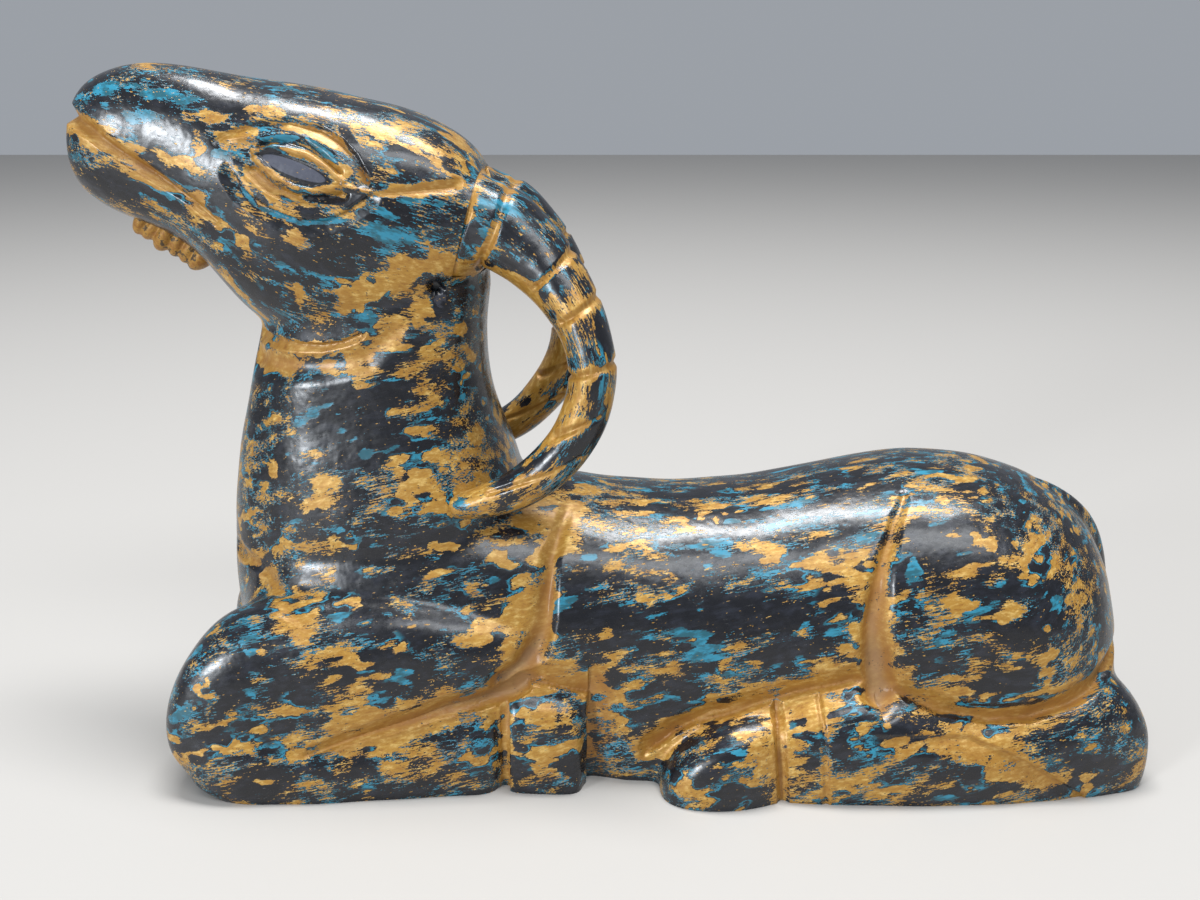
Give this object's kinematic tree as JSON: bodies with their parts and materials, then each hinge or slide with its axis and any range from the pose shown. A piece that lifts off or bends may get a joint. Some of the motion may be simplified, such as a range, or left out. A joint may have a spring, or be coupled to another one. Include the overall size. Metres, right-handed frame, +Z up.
{
  "type": "carved ibex statue",
  "caption": "Carved wooden figure of a lying ibex with swept-back horns and folded legs, in black, teal and gold rubbed lacquer.",
  "frame": {"origin": "centre of the footprint, on the flat underside", "axes": "-X towards the muzzle, -Y the animal's left side, +Z up"},
  "size_m": [0.3525, 0.1264, 0.2307],
  "materials": {
    "lacquered_wood": "glossy black lacquer over teal over gold, rubbed through",
    "gilded_wood": "worn gold over brown, rubbed",
    "dowel_wood": "plain, unseen"
  },
  "bodies": {
    "root": {"trunk": "lacquered_wood", "neck": "lacquered_wood", "head": "lacquered_wood", "horn_left": "lacquered_wood", "horn_right": "lacquered_wood", "foreleg_left": "lacquered_wood", "foreleg_right": "lacquered_wood", "hindleg_left": "lacquered_wood", "hindleg_right": "lacquered_wood", "beard": "gilded_wood", "neck_dowel_front": "dowel_wood", "neck_dowel_rear": "dowel_wood", "head_dowel_front": "dowel_wood", "head_dowel_rear": "dowel_wood", "beard_pin": "dowel_wood", "horn_dowel_left": "dowel_wood", "horn_dowel_right": "dowel_wood", "horn_tip_pin_left": "dowel_wood", "horn_tip_pin_right": "dowel_wood", "foreleg_dowel_front_left": "dowel_wood", "foreleg_dowel_front_right": "dowel_wood", "foreleg_dowel_rear_left": "dowel_wood", "foreleg_dowel_rear_right": "dowel_wood", "hindleg_dowel_front_left": "dowel_wood", "hindleg_dowel_front_right": "dowel_wood", "hindleg_dowel_rear_left": "dowel_wood", "hindleg_dowel_rear_right": "dowel_wood"}
  },
  "joints": []
}
